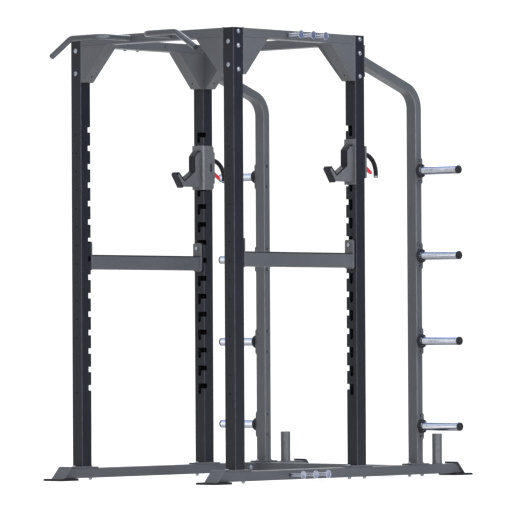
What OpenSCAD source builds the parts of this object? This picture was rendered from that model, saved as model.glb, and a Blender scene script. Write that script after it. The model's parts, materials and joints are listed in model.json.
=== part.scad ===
// Power cage: four slotted uprights on two base rails, a bolted top frame with gussets,
// pull-up handles, two lift-off bar hooks with a latch, two lift-off safety bars, and
// plate storage posts behind. Millimetres, +Z up, floor at z = 0, front towards -Y.

/* [Cage] */
// Distance across, between the centres of the left and right uprights
cage_w = 1143; // [1000:1:1300]
// Distance front to back, between the centres of the front and rear uprights
cage_d = 990; // [900:1:1200]
// Height of the top frame above the floor
overall_h = 2440; // [2330:1:2600]
// Distance from the rear uprights back to the storage posts
storage_gap = 501; // [420:1:600]

/* [Uprights] */
// Outer size of the square upright tube
post_w = 76.2; // [70:0.1:90]
// Wall of the uprights, beams and rails
wall = 3; // [2:0.1:4]
// Outer corner radius of the square tubes
tube_round = 5; // [3:0.5:6]
// Number of hanging slots in each upright
slot_count = 15; // [9:1:15]
// Distance from one slot to the next
slot_pitch = 101.6; // [90:0.1:102]
// Distance from the upright's top down to the first slot's arm
slot_top = 510; // [450:1:540]
// Height of a slot's horizontal arm
slot_arm_h = 29; // [27:0.5:34]
// Drop from the arm's centre line to where a stud rests
slot_drop = 34; // [28:0.5:38]
// Diameter of the hanging studs
stud_d = 23.6; // [18:0.1:24]
// Free space round a stud in its slot, on each side
stud_clear = 0.45; // [0.4:0.05:1]

/* [Base] */
// Thickness of the foot plates
foot_t = 12; // [8:0.5:16]
// Side of the square foot plates
foot_side = 140; // [120:1:170]
// Height of the base rails
rail_h = 54; // [48:0.5:64]
// Thickness of the plates under the uprights and storage posts
base_plate_t = 8; // [6:0.5:12]
// Length of rail in front of the front uprights, measured at its underside
front_tail = 143; // [130:1:180]
// Length of rail behind the storage posts' centres, measured at its underside
rear_tail = 362; // [330:1:420]

/* [Top frame] */
// Height of the top beams
beam_h = 50.8; // [45:0.1:60]
// Leg of the triangular corner gussets
gusset_leg = 200; // [180:1:215]
// Thickness of end plates, flanges and brackets
plate_t = 6; // [5:0.5:8]

/* [Pull-up handles] */
// Diameter of the pull-up handle tube
grip_d = 32; // [25:0.5:36]
// Distance from the front beam's face to the handle's centre line
grip_reach = 218; // [160:1:260]
// Distance from the centre plane to each handle's arm
grip_inner = 150; // [110:1:180]
// Distance from the centre plane to where each handle turns down
grip_outer = 392; // [340:1:420]
// Length of the sloping handle ends
grip_end = 172; // [130:1:200]
// Slope of the handle ends
grip_slope = 32; // [20:1:45]

/* [Band pegs] */
// Length of a band peg's rod, from the tube it stands on to its disc
band_len = 97; // [60:1:120]
// Diameter of the rod
band_d = 17; // [12:0.5:20]
// Diameter of the disc at its end
band_disc = 45; // [30:1:50]

/* [Plate storage] */
// Storage tube size across the cage
store_w = 70; // [60:1:76]
// Storage tube size front to back
store_t = 50; // [45:1:55]
// Fall of the storage arm from the upright
store_slope = 19.7; // [15:0.1:25]
// Bend radius of the storage tube's centre line
store_bend = 125; // [100:1:150]
// Diameter of the weight pegs
peg_d = 48; // [28:0.5:49]
// Length of a weight peg from its plate to its end cap
peg_len = 276; // [200:1:320]
// Height of the lowest peg
peg_low = 281; // [250:1:300]
// Distance between pegs
peg_pitch = 475; // [440:1:500]
// Inner diameter of the two bar holder tubes
holder_bore = 52; // [50:0.5:54]
// Height of the bar holder tubes
holder_h = 170; // [120:1:220]

/* [Bar hooks] */
// Slot that the hooks' upper stud hangs in, counted from the top
hook_slot = 2; // [2:1:4]
// Height of the hook bracket
hook_h = 250; // [230:1:260]
// Width of the hook arm
hook_w = 44; // [36:1:50]
// Thickness of the plastic liner on the hook arm
liner_t = 8; // [6:0.5:10]
// Diameter of the curved hook handle
handle_d = 26; // [22:0.5:28]
// Diameter of the latch pin
latch_d = 9; // [8:0.5:10]
// Travel of the latch pin
latch_travel = 8; // [7:0.5:8]

/* [Safety bars] */
// Slot that the safety bars' upper stud hangs in, counted from the top
safety_slot = 7; // [6:1:8]
// Width of the safety bar tube
safety_w = 50.8; // [45:0.1:60]
// Height of the safety bar tube
safety_h = 76.2; // [60:0.1:80]
// Thickness of the wear strip on each safety bar
strip_t = 6; // [4:0.5:8]
// Height of the safety bars' end plates
safety_plate_h = 160; // [155:1:170]

/* [Hidden] */
$fn = 48;
eps = 0.01;

// Clearances
lift_gap = 0.5;        // between a sliding liner and the upright's face
pin_gap = 0.05;        // radial running clearance of the latch and trigger pins
bolt_gap = 0.25;       // radial clearance of a bolt in its hole
swell = 0.1;           // a bent tube's sloping end is this much bigger all round
swell_lap = 2;         // and starts this far inside the bend

// Heights
rail_z = foot_t;
rail_top = rail_z + rail_h;
post_z = rail_top + base_plate_t;
beam_z = overall_h - beam_h;
gusset_z = beam_z - gusset_leg;

// Places across the cage; every pair is symmetric about x = 0
post_x = cage_w / 2;
half = post_w / 2;
inner_face = post_x - half;

// Places front to back; the whole object is centred on y = 0
foot_lip = 56;
foot_front = cage_d / 2 + half + front_tail + foot_lip;
grip_front = cage_d / 2 + half + grip_reach + grip_d / 2 + swell;
front_reach = max(foot_front, grip_front);
rear_reach = cage_d / 2 + storage_gap + rear_tail + foot_lip;
cage_y = (front_reach - rear_reach) / 2;
front_y = cage_y - cage_d / 2;
rear_y = cage_y + cage_d / 2;
store_y = rear_y + storage_gap;
rail_front = front_y - half - front_tail;
rail_rear = store_y + rear_tail;
rail_slant = 50;       // how far a rail's cut end leans over its height

// Slots and studs
slot_w = stud_d + 2 * stud_clear;
slot_wrap = 23;        // how far a slot's arm runs round the inner face
index_d = 10;
index_lift = 6;        // the index holes' height above a resting stud
function slot_z(n) = overall_h - slot_top - (n - 1) * slot_pitch;
function rest_z(n) = slot_z(n) - slot_drop;
stud_reach = 17;       // depth of a stud past the bracket's face
hook_z = (rest_z(hook_slot) + rest_z(hook_slot + 1)) / 2;
safety_z = (rest_z(safety_slot) + rest_z(safety_slot + 1)) / 2;

// Bolts
bolt_d = 12;
head_d = 21;
head_h = 7;
nut_d = 20.8;
nut_h = 8;
side_bolt_z = [overall_h - 76, overall_h - 201];
cross_bolt_z = [overall_h - 21, overall_h - 98, overall_h - 225];
storage_plate_h = 176;
storage_arm_z = (side_bolt_z[0] + side_bolt_z[1]) / 2;
base_bolt_dy = 63;
base_plate_l = 180;
store_plate_l = 150;
store_bolt_dy = 54;

// Base crossmember
cross_y = rear_y + 394 + half;
cross_h = 50.8;
cross_flange_l = 250;
cross_bolt_dy = 90;

// Storage bend, worked out from the slope and the gap
store_corner_z = storage_arm_z - (storage_gap - half - plate_t) * tan(store_slope);
store_tangent = store_bend * tan((90 - store_slope) / 2);
store_arm_l = (storage_gap - half - plate_t) / cos(store_slope) - store_tangent;
store_face = post_x + store_w / 2;
peg_plate_h = 153;
peg_bolt_dz = 59;
collar_d = peg_d + 28;
collar_t = 20;
peg_cap_t = 14;
peg_step = 0.5;        // the peg's foot is this much bigger in radius, its end cap this much smaller
holder_y = store_y + 186;
holder_wall = 2.5;

// Bar hook, about the axis of the upright it hangs on
pad_t = 2.5;
hook_gap = pad_t + lift_gap;
side_gap = 2;
front_in = half + hook_gap;
front_out = front_in + plate_t;
side_in = half + side_gap;
side_out = side_in + plate_t;
rear_leg_h = 177;
housing_t = 7;
housing_out = front_out + housing_t;
handle_bend = 105;
handle_neck = 14;
handle_z = 46;
latch_z = -slot_pitch / 2 + index_lift;
trigger_pin_d = 6;
trigger_y = housing_out + 13;
trigger_z = latch_z + 25;
trigger_w = 12;
ear_t = 4;
latch_tip = half + 2 - latch_travel;
latch_head_y = trigger_y + 11;

// Safety bar
safety_stand = 18;
safety_pad_t = 10 - lift_gap;
safety_plate_t = safety_stand - 10;
safety_plate_w = 62;
safety_end = cage_d / 2 - half - safety_stand;
safety_drop = 37;      // tube centre below the studs' middle

// ---------- shared shapes ----------

// Rectangle with exact round corners
module round_rect(w, h, r) {
    square([w, h - 2 * r], center = true);
    square([w - 2 * r, h], center = true);
    for (sx = [-1, 1], sy = [-1, 1])
        translate([sx * (w / 2 - r), sy * (h / 2 - r)]) circle(r = r);
}

// Cross-section of a rectangular tube
module tube_section(w, h, t = wall) {
    difference() {
        round_rect(w, h, tube_round);
        round_rect(w - 2 * t, h - 2 * t, max(tube_round - t, 1));
    }
}

module tube_x(length, w, h) { rotate([90, 0, 90]) linear_extrude(length, center = true) tube_section(w, h); }
module tube_y(length, w, h) { rotate([90, 0, 0]) linear_extrude(length, center = true) tube_section(w, h); }

module box(w, d, h) { cube([w, d, h], center = true); }
module rod_x(d, length) { rotate([0, 90, 0]) cylinder(d = d, h = length, center = true); }
module rod_y(d, length) { rotate([90, 0, 0]) cylinder(d = d, h = length, center = true); }

// An outline drawn in the Y-Z plane, extruded across X
module side_outline(points, width) {
    rotate([90, 0, 90]) linear_extrude(width, center = true) polygon(points);
}

// Both sides of the cage
module both_sides() {
    children();
    mirror([1, 0, 0]) children();
}

// Domed bolt with a hexagon nut; z = 0 is the face under the head, the shank runs down
module bolt(grip) {
    difference() {
        rotate_extrude() intersection() {
            translate([0, -8.5]) circle(r = 15.5, $fn = 96);
            square([head_d / 2, head_h]);
        }
        translate([0, 0, head_h - 3.5]) cylinder(d = 8, h = 5, $fn = 6);
    }
    translate([0, 0, -grip - nut_h - 2]) cylinder(d = bolt_d, h = grip + nut_h + 2 + eps);
    translate([0, 0, -grip - nut_h]) difference() {
        cylinder(d = nut_d, h = nut_h, $fn = 6);
        translate([0, 0, -1]) cylinder(d = bolt_d - 2 * eps, h = nut_h + 2);
    }
}

// ---------- uprights ----------

// One slot: an arm from the inner corner, then a drop to the resting place
module slot_cut() {
    arm_end = slot_w / 2;
    translate([-arm_end, half - wall - 1, -slot_arm_h / 2])
        cube([arm_end + half + 1, wall + 2, slot_arm_h]);
    translate([half - wall - 2, half - slot_wrap, -slot_arm_h / 2])
        cube([wall + 3, slot_wrap + 1, slot_arm_h]);
    translate([0, half - wall / 2, -slot_drop / 2]) box(slot_w, wall + 2, slot_drop);
    translate([0, half - wall / 2, -slot_drop]) rod_y(slot_w, wall + 2);
}

// Opening opposite a slot: a round index hole, or a long one that a latch pin rises in
module index_cut(lift) {
    translate([0, -half + wall / 2, -slot_drop + index_lift]) {
        rod_y(index_d, wall + 2);
        if (lift > 0) {
            translate([0, 0, lift / 2]) box(index_d, wall + 2, lift);
            translate([0, 0, lift]) rod_y(index_d, wall + 2);
        }
    }
}

// Front left pattern: slots face +Y and open towards +X
module upright(latch_lift) {
    hole_d = bolt_d + 2 * bolt_gap;
    difference() {
        translate([0, 0, post_z]) linear_extrude(overall_h - post_z) tube_section(post_w, post_w);
        for (n = [1 : slot_count]) translate([0, 0, slot_z(n)]) {
            slot_cut();
            index_cut(latch_lift);
        }
        for (z = side_bolt_z) translate([0, 0, z]) rod_y(hole_d, post_w + 2);
        for (z = cross_bolt_z) translate([0, 0, z]) rod_x(hole_d, post_w + 2);
    }
}

module upright_front_left() { color("#2d303a") translate([-post_x, front_y, 0]) upright(0); }
module upright_front_right() { mirror([1, 0, 0]) upright_front_left(); }
module upright_rear_left() {
    color("#2d303a") translate([-post_x, rear_y, 0]) mirror([0, 1, 0]) upright(slot_drop);
}
module upright_rear_right() { mirror([1, 0, 0]) upright_rear_left(); }

module upright_caps() {
    plug = post_w - 2 * wall - 0.4;
    color("#15161a") for (x = [-post_x, post_x], y = [front_y, rear_y])
        translate([x, y, overall_h - 12]) linear_extrude(12) round_rect(plug, plug, 2);
}

// ---------- base ----------

module base_rail() {
    length = rail_rear - rail_front;
    bolts = [front_y - base_bolt_dy, front_y + base_bolt_dy, rear_y - base_bolt_dy,
             rear_y + base_bolt_dy, store_y - store_bolt_dy, store_y + store_bolt_dy];
    difference() {
        intersection() {
            translate([0, (rail_front + rail_rear) / 2, rail_z + rail_h / 2])
                tube_y(length, post_w, rail_h);
            side_outline([[rail_front, rail_z], [rail_rear, rail_z],
                          [rail_rear - rail_slant, rail_top], [rail_front + rail_slant, rail_top]],
                         post_w + 2);
        }
        for (y = bolts) translate([0, y, 0]) cylinder(d = bolt_d + 2 * bolt_gap, h = rail_top + 1);
        for (dy = [-cross_bolt_dy, cross_bolt_dy])
            translate([half - wall / 2, cross_y + dy, rail_z + rail_h / 2])
                rod_x(bolt_d + 2 * bolt_gap, wall + 2);
    }
}

module base_rail_left() { color("#66696e") translate([-post_x, 0, 0]) base_rail(); }
module base_rail_right() { mirror([1, 0, 0]) base_rail_left(); }

// Sloping end cap, wider than the rail and standing proud of its top
module rail_end_cap() {
    cap_t = 12;
    rise = 11;
    soft = 4;
    slope = rail_slant / rail_h;
    shoulder = -(rail_h + rise - soft) * slope;
    crest = -(rail_h + rise) * slope;
    side_outline([[0, rail_z], [cap_t, rail_z], [cap_t + shoulder, rail_top + rise - soft],
                  [cap_t + crest - soft / 2, rail_top + rise], [crest + soft / 2, rail_top + rise],
                  [shoulder, rail_top + rise - soft]], post_w + 20);
}

module rail_end_caps() {
    color("#5d6066") both_sides() translate([post_x, 0, 0]) {
        translate([0, rail_rear, 0]) rail_end_cap();
        translate([0, rail_front, 0]) mirror([0, 1, 0]) rail_end_cap();
    }
}

module foot_plate() {
    difference() {
        linear_extrude(foot_t) round_rect(foot_side, foot_side, 6);
        for (sx = [-1, 1]) translate([sx * 52, -foot_side / 2 + 25, -1])
            cylinder(d = 13, h = foot_t + 2);
    }
}

module foot_plates() {
    color("#101114") both_sides() translate([post_x, 0, 0]) {
        translate([0, rail_front - foot_lip + foot_side / 2, 0]) foot_plate();
        translate([0, rail_rear + foot_lip - foot_side / 2, 0]) mirror([0, 1, 0]) foot_plate();
    }
}

module base_plate(length, bolt_dy) {
    translate([0, 0, rail_top]) difference() {
        translate([-half, -length / 2, 0]) cube([post_w, length, base_plate_t]);
        for (dy = [-bolt_dy, bolt_dy])
            translate([0, dy, -1]) cylinder(d = bolt_d + 2 * bolt_gap, h = base_plate_t + 2);
    }
}

module base_plates() {
    color("#66696e") both_sides() translate([post_x, 0, 0]) {
        for (y = [front_y, rear_y]) translate([0, y, 0]) base_plate(base_plate_l, base_bolt_dy);
        translate([0, store_y, 0]) base_plate(store_plate_l, store_bolt_dy);
    }
}

module base_crossmember() {
    flange_x = inner_face - plate_t;
    color("#66696e") translate([0, cross_y, rail_z + 2 + cross_h / 2]) {
        tube_x(2 * flange_x, post_w, cross_h);
        both_sides() translate([flange_x + plate_t / 2, 0, 0]) difference() {
            box(plate_t, cross_flange_l, cross_h - 4);
            for (dy = [-cross_bolt_dy, cross_bolt_dy])
                translate([0, dy, rail_h / 2 - 2 - cross_h / 2]) rod_x(bolt_d + 2 * bolt_gap, plate_t + 2);
        }
    }
}

module base_bolts() {
    color("#b9bcc2") both_sides() translate([post_x, 0, 0]) {
        for (y = [front_y, rear_y], dy = [-base_bolt_dy, base_bolt_dy])
            translate([0, y + dy, post_z]) bolt(rail_h + base_plate_t);
        for (dy = [-store_bolt_dy, store_bolt_dy])
            translate([0, store_y + dy, post_z]) bolt(rail_h + base_plate_t);
        for (dy = [-cross_bolt_dy, cross_bolt_dy])
            translate([-half - plate_t, cross_y + dy, rail_z + rail_h / 2])
                rotate([0, -90, 0]) bolt(plate_t + wall);
    }
}

// ---------- top frame ----------

// End plate with a row of bolt holes; the plate faces along X
module end_plate(heights) {
    difference() {
        translate([-plate_t / 2, -half, gusset_z]) cube([plate_t, post_w, overall_h - gusset_z]);
        for (z = heights) translate([0, 0, z]) rod_x(bolt_d + 2 * bolt_gap, plate_t + 2);
    }
}

// Beam along X with an end plate at each end
module beam(span, heights) {
    translate([0, 0, beam_z + beam_h / 2]) tube_x(span - 2 * plate_t + 2 * eps, post_w, beam_h);
    both_sides() translate([(span - plate_t) / 2, 0, 0]) end_plate(heights);
}

cross_span = cage_w - post_w;
side_span = cage_d - post_w;

module side_beam_left() {
    color("#66696e") translate([-post_x, cage_y, 0]) rotate([0, 0, 90]) beam(side_span, side_bolt_z);
}
module side_beam_right() { mirror([1, 0, 0]) side_beam_left(); }
module front_beam() { color("#66696e") translate([0, front_y, 0]) beam(cross_span, cross_bolt_z); }
module rear_beam() { color("#66696e") translate([0, rear_y, 0]) beam(cross_span, cross_bolt_z); }

// Folded gusset: two triangular cheeks joined by a sloping web; corner at the origin
module gusset() {
    skin = 4;
    toe = 16;
    leg = gusset_leg - 0.2;
    reach = gusset_leg - plate_t;
    lean = (reach - toe) / leg;
    web = skin * sqrt(1 + lean * lean);
    difference() {
        rotate([90, 0, 0]) linear_extrude(post_w, center = true)
            polygon([[0, 0], [reach, 0], [toe, -leg], [0, -leg]]);
        rotate([90, 0, 0]) linear_extrude(post_w - 2 * skin, center = true)
            polygon([[-1, 1], [reach - web + lean, 1], [toe - web - lean, -leg - 1], [-1, -leg - 1]]);
        translate([40, 0, -leg + 30]) rod_x(10, 60);
    }
}

// A gusset at each end of a beam along X
module gusset_pair(span) {
    both_sides() translate([-span / 2 + plate_t, 0, beam_z - 0.1]) gusset();
}

module side_gussets() {
    color("#6b6e73") both_sides() translate([post_x, cage_y, 0]) rotate([0, 0, 90]) gusset_pair(side_span);
}
module cross_gussets() {
    color("#6b6e73") for (y = [front_y, rear_y]) translate([0, y, 0]) gusset_pair(cross_span);
}

module frame_bolts() {
    color("#b9bcc2") both_sides() translate([post_x, 0, 0]) {
        for (z = side_bolt_z) {
            translate([0, front_y - half, z]) rotate([90, 0, 0]) bolt(post_w + plate_t);
            translate([0, rear_y + half + plate_t, z]) rotate([-90, 0, 0]) bolt(post_w + 2 * plate_t);
        }
        for (y = [front_y, rear_y], z = cross_bolt_z)
            translate([half, y, z]) rotate([0, 90, 0]) bolt(post_w + plate_t);
    }
}

// ---------- pull-up handles ----------

handle_face = front_y - half;
grip_z = overall_h - beam_h / 2;
grip_bend = 48;
end_bend = 60;

// The right handle's path as a solid rod of a given diameter
module grip_rod(d, extra) {
    bend_in = end_bend * tan(grip_slope / 2);
    y = handle_face - grip_reach;
    straight = grip_outer - bend_in - grip_inner - grip_bend;
    translate([grip_inner + grip_bend, y + grip_bend, grip_z]) {
        translate([-grip_bend, 0, 0]) rotate([-90, 0, 0])
            cylinder(d = d, h = grip_reach - grip_bend + extra);
        rotate([0, 0, 180]) rotate_extrude(angle = 90) translate([grip_bend, 0]) circle(d = d);
        translate([0, -grip_bend, 0]) rotate([0, 90, 0]) cylinder(d = d, h = straight);
        translate([straight, -grip_bend, -end_bend]) {
            rotate([-90, -90, 0]) rotate_extrude(angle = grip_slope)
                translate([end_bend, 0]) circle(d = d);
            rotate([0, grip_slope, 0]) translate([-swell_lap, 0, end_bend]) rotate([0, 90, 0])
                cylinder(d = d + 2 * swell, h = grip_end - bend_in + swell_lap + extra);
        }
    }
}

module pullup_handle() {
    difference() {
        grip_rod(grip_d, 0);
        grip_rod(grip_d - 5, 1);
    }
}

module pullup_handle_right() { color("#5c6068") pullup_handle(); }
module pullup_handle_left() { color("#5c6068") mirror([1, 0, 0]) pullup_handle(); }

module pullup_plugs() {
    bend_in = end_bend * tan(grip_slope / 2);
    color("#101114") both_sides()
        translate([grip_outer - bend_in, handle_face - grip_reach, grip_z - end_bend])
            rotate([0, grip_slope, 0]) translate([grip_end - bend_in, 0, end_bend]) rotate([0, 90, 0]) {
                cylinder(d = grip_d, h = 6);
                translate([0, 0, -14]) cylinder(d = grip_d - 5.4, h = 14 + eps);
            }
}

// Short pegs for elastic bands, on the outer faces of the side beams and base rails
module band_pegs() {
    rim = 5;
    color("#c4c8d0") both_sides()
        for (z = [overall_h - beam_h / 2, rail_z + rail_h / 2], k = [-1 : 1])
            translate([post_x + half, cage_y + k * slot_pitch, z]) rotate([0, 90, 0]) {
                cylinder(d = band_d, h = band_len);
                translate([0, 0, band_len - eps]) rotate_extrude() {
                    square([band_disc / 2 - rim / 2, rim]);
                    translate([band_disc / 2 - rim / 2, rim / 2]) circle(d = rim);
                }
            }
}

// ---------- plate storage ----------

// Bent storage tube's path as a solid bar of a given section
module storage_bar(w, t, extra) {
    bend_z = store_corner_z - store_tangent;
    translate([0, 0, post_z - extra]) linear_extrude(bend_z - post_z + extra)
        round_rect(w, t, max(tube_round - extra, 1));
    translate([0, -store_bend, bend_z]) {
        rotate([0, 90, 0]) rotate([0, 0, 90]) rotate_extrude(angle = 90 - store_slope, $fn = 96)
            translate([store_bend, 0]) round_rect(t, w, max(tube_round - extra, 1));
        rotate([90 - store_slope, 0, 0]) translate([0, store_bend, -swell_lap])
            linear_extrude(store_arm_l + 60)
                round_rect(w + 2 * swell, t + 2 * swell, max(tube_round - extra, 1) + swell);
    }
}

module storage_post() {
    plate_face = -storage_gap + half + plate_t;
    difference() {
        storage_bar(store_w, store_t, 0);
        storage_bar(store_w - 2 * wall, store_t - 2 * wall, 2);
        translate([-100, plate_face - 400, store_corner_z - 200]) cube([200, 400, 700]);
        for (k = [0 : 3], dz = [-peg_bolt_dz, peg_bolt_dz])
            translate([0, 0, peg_low + k * peg_pitch + dz]) rod_x(8.5, store_w + 2);
    }
}

module storage_post_left() { color("#66696e") translate([-post_x, store_y, 0]) storage_post(); }
module storage_post_right() { color("#66696e") translate([post_x, store_y, 0]) storage_post(); }

module storage_plates() {
    color("#66696e") both_sides() translate([post_x, rear_y + half, storage_arm_z]) difference() {
        translate([-half, 0, -storage_plate_h / 2]) cube([post_w, plate_t, storage_plate_h]);
        for (z = side_bolt_z) translate([0, plate_t / 2, z - storage_arm_z])
            rod_y(bolt_d + 2 * bolt_gap, plate_t + 2);
    }
}

// Repeats its child, drawn about a peg's axis at x = 0, at the eight pegs
module at_pegs() {
    both_sides() for (k = [0 : 3]) translate([store_face, store_y, peg_low + k * peg_pitch]) children();
}

module peg_plates() {
    h = peg_plate_h / 2;
    w = store_t / 2;
    color("#66696e") at_pegs() difference() {
        rotate([90, 0, 90]) linear_extrude(plate_t)
            polygon([[-w, -h + 12], [-w + 12, -h], [w - 12, -h], [w, -h + 12],
                     [w, h - 12], [w - 12, h], [-w + 12, h], [-w, h - 12]]);
        for (dz = [-peg_bolt_dz, peg_bolt_dz]) translate([0, 0, dz]) rod_x(8.5, 3 * plate_t);
    }
}

module peg_bolts() {
    through = store_w + plate_t;
    color("#8d9096") at_pegs() for (dz = [-peg_bolt_dz, peg_bolt_dz]) translate([plate_t, 0, dz])
        rotate([0, 90, 0]) {
            cylinder(d = 15, h = 5, $fn = 6);
            translate([0, 0, -through - 8]) cylinder(d = 8, h = through + 8 + eps);
            translate([0, 0, -through - 6.5]) difference() {
                cylinder(d = 15, h = 6.5, $fn = 6);
                translate([0, 0, -1]) cylinder(d = 8 - 2 * eps, h = 9);
            }
        }
}

module weight_pegs() {
    color("#d5d8de") at_pegs() translate([plate_t, 0, 0]) rotate([0, 90, 0]) difference() {
        union() {
            cylinder(d = peg_d, h = peg_len, $fn = 64);
            cylinder(d = peg_d + 2 * peg_step, h = collar_t, $fn = 64);
        }
        translate([0, 0, 4]) cylinder(d = peg_d - 8, h = peg_len);
    }
}

module peg_collars() {
    soft = 6;
    bore = peg_d / 2 + peg_step;
    color("#111216") at_pegs() translate([plate_t, 0, 0]) rotate([0, 90, 0]) rotate_extrude($fn = 64) {
        translate([bore, 0]) square([collar_d / 2 - soft - bore, collar_t]);
        translate([collar_d / 2 - soft - eps, soft]) square([soft + eps, collar_t - 2 * soft]);
        for (z = [soft, collar_t - soft]) translate([collar_d / 2 - soft, z]) circle(r = soft);
    }
}

module peg_caps() {
    soft = 5;
    rim = peg_d / 2 - peg_step;
    color("#111216") at_pegs() translate([plate_t + peg_len, 0, 0]) rotate([0, 90, 0])
    rotate_extrude($fn = 64) {
        translate([0, -20]) square([peg_d / 2 - 4.2, 20 + eps]);
        square([rim, peg_cap_t - soft]);
        square([rim - soft, peg_cap_t]);
        translate([rim - soft, peg_cap_t - soft]) intersection() {
            circle(r = soft);
            square(soft + 1);
        }
    }
}

module bar_holders() {
    color("#66696e") both_sides() translate([post_x, holder_y, rail_top]) difference() {
        cylinder(d = holder_bore + 2 * holder_wall, h = holder_h, $fn = 64);
        translate([0, 0, -1]) cylinder(d = holder_bore, h = holder_h + 2, $fn = 64);
    }
}

// ---------- bar hooks, drawn about the rear left upright's axis ----------

module hook_place(side) {
    mirror([side > 0 ? 1 : 0, 0, 0]) translate([-post_x, rear_y, hook_z]) children();
}

// Half-tall outlines of the bent bracket, seen from above
module hook_bracket() {
    bend = 12;
    difference() {
        union() {
            linear_extrude(hook_h, center = true) difference() {
                union() {
                    translate([-half - 3, -front_out]) square([half + 3 + side_out - bend, plate_t]);
                    translate([side_in, -front_out + bend]) square([plate_t, front_out - bend + half]);
                    translate([side_out - bend, -front_out + bend]) intersection() {
                        circle(r = bend);
                        translate([0, -bend]) square(bend);
                    }
                }
                translate([side_out - bend, -front_out + bend]) circle(r = bend - plate_t);
            }
            linear_extrude(rear_leg_h, center = true) {
                translate([side_in, half - 1]) square([plate_t, front_out - half + 1]);
                translate([-half, front_in]) square([half + side_out, plate_t]);
                translate([-half, front_out - eps]) square([2 * half, housing_t + eps]);
            }
        }
        // window, stud spigots, latch bore, and the rounded rear corners
        translate([side_in + plate_t / 2, 17, 0]) box(plate_t + 2, 15, 46);
        for (s = [-1, 1]) translate([0, -front_in - plate_t / 2, s * slot_pitch / 2]) rod_y(12, plate_t + 2);
        translate([0, (front_in + housing_out) / 2, latch_z])
            rod_y(latch_d + 2 * pin_gap, housing_out - front_in + 2);
        for (s = [-1, 1]) translate([side_in + plate_t / 2, half, s * hook_h / 2])
            rotate([45, 0, 0]) box(plate_t + 2, 16, 16);
    }
    // ears that carry the trigger pin
    for (x = [-trigger_w / 2 - 0.5 - ear_t, trigger_w / 2 + 7]) difference() {
        translate([x + ear_t / 2, 0, 0]) side_outline([
            [housing_out - eps, trigger_z + 14], [trigger_y + 3, trigger_z + 8], [trigger_y + 8, trigger_z],
            [trigger_y + 3, trigger_z - 8], [housing_out - eps, trigger_z - 14]], ear_t);
        translate([x + ear_t / 2, trigger_y, trigger_z]) rod_x(trigger_pin_d + 2 * pin_gap, ear_t + 2);
    }
}

// Upper edge of the lined arm, from the bracket out to the nose and down to its underside
hook_edge = [[-front_out, 95], [-68, 93], [-97, 63], [-97, -20], [-178, -71], [-221, -28],
             [-233, -29], [-243, -44], [-192, -117]];
// The same edge of the steel arm, one liner thickness in
hook_core = [[-front_out, 95 - liner_t], [-64.8, 85.5], [-97 + liner_t, 60], [-97 + liner_t, -24.5],
             [-178, -71 - 1.3 * liner_t], [-219, -40], [-228, -40], [-233, -46], [-187, -109]];

module hook_arm() {
    shell = 5;
    hollow = [[-front_out - shell, 60], [-78, 40], [-97 + liner_t + shell, 30], [-84, -34],
              [-172, -90], [-184, -90], [-172, -130], [-front_out - shell, -130]];
    difference() {
        side_outline(concat(hook_core, [[-front_out, -109]]), hook_w);
        side_outline(hollow, hook_w - 2 * shell);
    }
}

module hook_liner() {
    side_outline(concat(hook_edge, [for (i = [len(hook_core) - 1 : -1 : 0]) hook_core[i]]), hook_w);
    translate([0, -half - hook_gap + pad_t / 2, 0]) difference() {
        box(post_w - 10, pad_t, hook_h - 6);
        for (s = [-1, 1]) translate([0, 0, s * slot_pitch / 2]) rod_y(stud_d + 0.4, pad_t + 2);
    }
}

module hook_studs() {
    for (s = [-1, 1]) translate([0, -front_in, s * slot_pitch / 2]) rotate([-90, 0, 0]) {
        cylinder(d = stud_d, h = stud_reach - 3);
        translate([0, 0, stud_reach - 3 - eps]) cylinder(d1 = stud_d, d2 = stud_d - 6, h = 3);
        translate([0, 0, -plate_t]) cylinder(d = 12, h = plate_t + eps);
    }
}

module hook_handle() {
    translate([0, housing_out, handle_z]) {
        translate([0, handle_neck / 2, 0]) rod_y(handle_d, handle_neck);
        translate([0, handle_neck, -handle_bend]) {
            rotate([0, -90, 0]) rotate_extrude(angle = 90, $fn = 96)
                translate([handle_bend, 0]) circle(d = handle_d, $fn = 48);
            translate([0, handle_bend, -21]) cylinder(d = handle_d, h = 21 + eps);
        }
    }
}

// Trigger: a finger lever behind the pin and a fork below it that pulls the latch pin
module trigger() {
    y = trigger_y;
    z = trigger_z;
    hub = 8;
    neck = 7;
    difference() {
        union() {
            translate([0, y, z]) rod_x(2 * hub, trigger_w);
            side_outline([[y - 2, z + 7.7], [y + 8, z + 7], [y + 30, z - 4], [y + 64, z - 28],
                          [y + 69, z - 34], [y + 67, z - 42], [y + 60, z - 45], [y + 27, z - 27],
                          [y + 8, z - 12], [y - 2, z - 7]], trigger_w);
            side_outline([[y + 2, z], [y + 8, z], [y + 8, z - 29.5], [y + 2, z - 29.5]], trigger_w);
        }
        translate([0, y, z]) rod_x(trigger_pin_d + 2 * pin_gap, trigger_w + 2);
        translate([0, y + 8, z - 28]) box(neck, 16, 18);
    }
}

module trigger_pin() {
    length = trigger_w + 7.5 + 2 * ear_t;
    x0 = -trigger_w / 2 - 0.5 - ear_t;
    translate([x0, trigger_y, trigger_z]) rotate([0, 90, 0]) {
        cylinder(d = trigger_pin_d, h = length);
        translate([0, 0, -2]) cylinder(d = 10, h = 2 + eps);
        translate([0, 0, length - eps]) cylinder(d = 8, h = 2);
    }
}

// Torsion spring beside the trigger, drawn as its stacked turns
module trigger_spring() {
    wire = 1.3;
    inner = trigger_pin_d / 2;
    translate([trigger_w / 2 + 0.6, trigger_y, trigger_z]) rotate([0, 90, 0]) rotate_extrude() {
        translate([inner, 0]) square([wire, 4 * wire]);
        for (i = [0 : 3]) translate([inner + wire, (i + 0.5) * wire]) circle(d = wire, $fn = 24);
    }
}

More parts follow.
